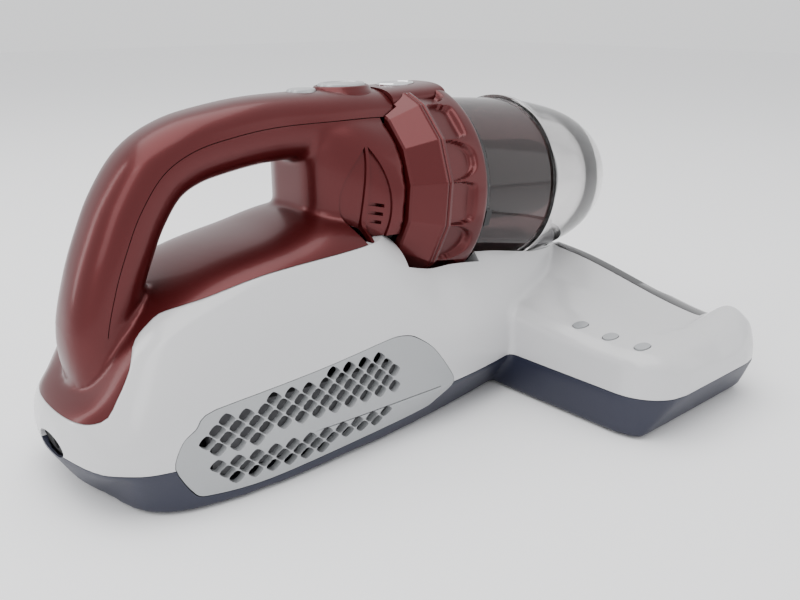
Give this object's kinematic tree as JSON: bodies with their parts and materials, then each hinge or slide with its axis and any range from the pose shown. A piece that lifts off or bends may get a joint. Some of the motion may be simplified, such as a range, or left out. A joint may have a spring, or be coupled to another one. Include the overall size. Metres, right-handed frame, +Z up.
{
  "type": "handheld vacuum",
  "caption": "Corded handheld mattress vacuum with a wide T-shaped brush head, looped top handle and a smoked cyclone bin on a tilted axis.",
  "frame": {"origin": "centre of the bounding box in X and Y, on the surface that the vacuum stands on", "axes": "+X forward, from the handle's rear post to the brush head and the bin's nose; +Y to the left; +Z up"},
  "size_m": [0.388, 0.331, 0.178],
  "materials": {
    "burgundy_plastic": "metallic burgundy, lacquered, semi-gloss",
    "white_plastic": "glossy white moulding",
    "navy_plastic": "satin navy moulding",
    "grey_plastic": "satin grey moulding",
    "smoked_plastic": "smoked clear moulding",
    "clear_plastic": "clear moulding",
    "lens_plastic": "grey diffusing lens",
    "black_plastic": "fine-textured black moulding",
    "black_rubber": "matt black rubber",
    "silver_plastic": "silver lacquered moulding",
    "bright_chrome": "bright plated",
    "steel": "plain steel",
    "motor_metal": "can and laminations taken as one metal",
    "brush_bristle": "moulded core with nylon bristle rows",
    "foam": "open-cell foam and pleated filter cloth",
    "circuit_board": "solder-masked board",
    "lamp_glass": "quartz tube"
  },
  "bodies": {
    "housing": {"upper_housing": "white_plastic", "lower_housing": "navy_plastic", "sole_plate": "black_plastic", "brush_window": "smoked_plastic", "indicator_lens_1": "lens_plastic", "indicator_lens_2": "lens_plastic", "indicator_lens_3": "lens_plastic", "vent_panel_right": "grey_plastic", "vent_panel_left": "grey_plastic", "exhaust_filter_right": "foam", "exhaust_filter_left": "foam", "handle_housing": "burgundy_plastic", "handle_cover": "burgundy_plastic", "top_bridge": "burgundy_plastic", "collar": "burgundy_plastic", "badge": "bright_chrome", "power_switch": "black_plastic", "mode_switch": "black_plastic", "motor_filter": "foam", "suction_motor": "motor_metal", "motor_mount": "black_rubber", "brush_motor": "motor_metal", "drive_belt": "black_rubber", "brush_bearing_right": "black_plastic", "brush_bearing_left": "black_plastic", "uv_lamp": "lamp_glass", "lamp_holder_right": "white_plastic", "lamp_holder_left": "white_plastic", "lamp_cover": "clear_plastic", "roller_axle_right": "steel", "roller_axle_left": "steel", "lamp_switch": "black_plastic", "suction_duct": "black_plastic", "cord_inlet": "black_rubber", "control_board": "circuit_board", "foot_right": "black_rubber", "foot_left": "black_rubber", "screw_rear_right": "steel", "screw_rear_left": "steel", "screw_front_right": "steel", "screw_front_left": "steel"},
    "power_button": {"power_button": "silver_plastic"},
    "mode_button": {"mode_button": "silver_plastic"},
    "lock_ring": {"lock_ring": "black_plastic"},
    "bin": {"dust_bin": "smoked_plastic", "bin_nose": "clear_plastic", "cyclone_shroud": "black_plastic", "bin_filter": "foam"},
    "fan": {"fan": "black_plastic"},
    "brush": {"brush_roll": "brush_bristle", "brush_pulley": "black_plastic"},
    "motor_pulley": {"motor_pulley": "steel"},
    "roller_right": {"roller_right": "black_rubber"},
    "roller_left": {"roller_left": "black_rubber"},
    "lamp_plunger": {"lamp_plunger": "white_plastic"}
  },
  "joints": [
    {"name": "power_press", "type": "slide", "parent": "housing", "child": "power_button", "axis": [0, 0, -1], "range_m": [0, 0.002], "stiffness_N_per_m": 400, "springref_m": -0.002},
    {"name": "mode_press", "type": "slide", "parent": "housing", "child": "mode_button", "axis": [0, 0, -1], "range_m": [0, 0.002], "stiffness_N_per_m": 300, "springref_m": -0.002},
    {"name": "lamp_plunger_lift", "type": "slide", "parent": "housing", "child": "lamp_plunger", "axis": [0, 0, 1], "range_m": [0, 0.0008], "stiffness_N_per_m": 200, "springref_m": -0.002},
    {"name": "lock_twist", "type": "hinge", "parent": "housing", "child": "lock_ring", "pos_m": [-0.01495, 0, 0.1195], "axis": [0.9969, 0, -0.0785], "range_deg": [0, 25]},
    {"name": "bin_pull", "type": "slide", "parent": "housing", "child": "bin", "axis": [0.9962, 0, 0.0872], "range_m": [0, 0.13]},
    {"name": "fan_spin", "type": "hinge", "parent": "housing", "child": "fan", "pos_m": [-0.01495, 0, 0.1195], "axis": [0.9969, 0, -0.0785], "continuous": true},
    {"name": "brush_spin", "type": "hinge", "parent": "housing", "child": "brush", "pos_m": [0.13055, 0, 0.0183], "axis": [0, 1, 0], "continuous": true},
    {"name": "motor_pulley_spin", "type": "hinge", "parent": "housing", "child": "motor_pulley", "pos_m": [0.07005, 0, 0.024], "axis": [0, 1, 0], "continuous": true},
    {"name": "roller_right_spin", "type": "hinge", "parent": "housing", "child": "roller_right", "pos_m": [0.07405, -0.12, 0.007], "axis": [0, 1, 0], "continuous": true},
    {"name": "roller_left_spin", "type": "hinge", "parent": "housing", "child": "roller_left", "pos_m": [0.07405, 0.12, 0.007], "axis": [0, 1, 0], "continuous": true}
  ],
  "couplings": [
    {"joint": "motor_pulley_spin", "follows": "brush_spin", "ratio": 2}
  ]
}
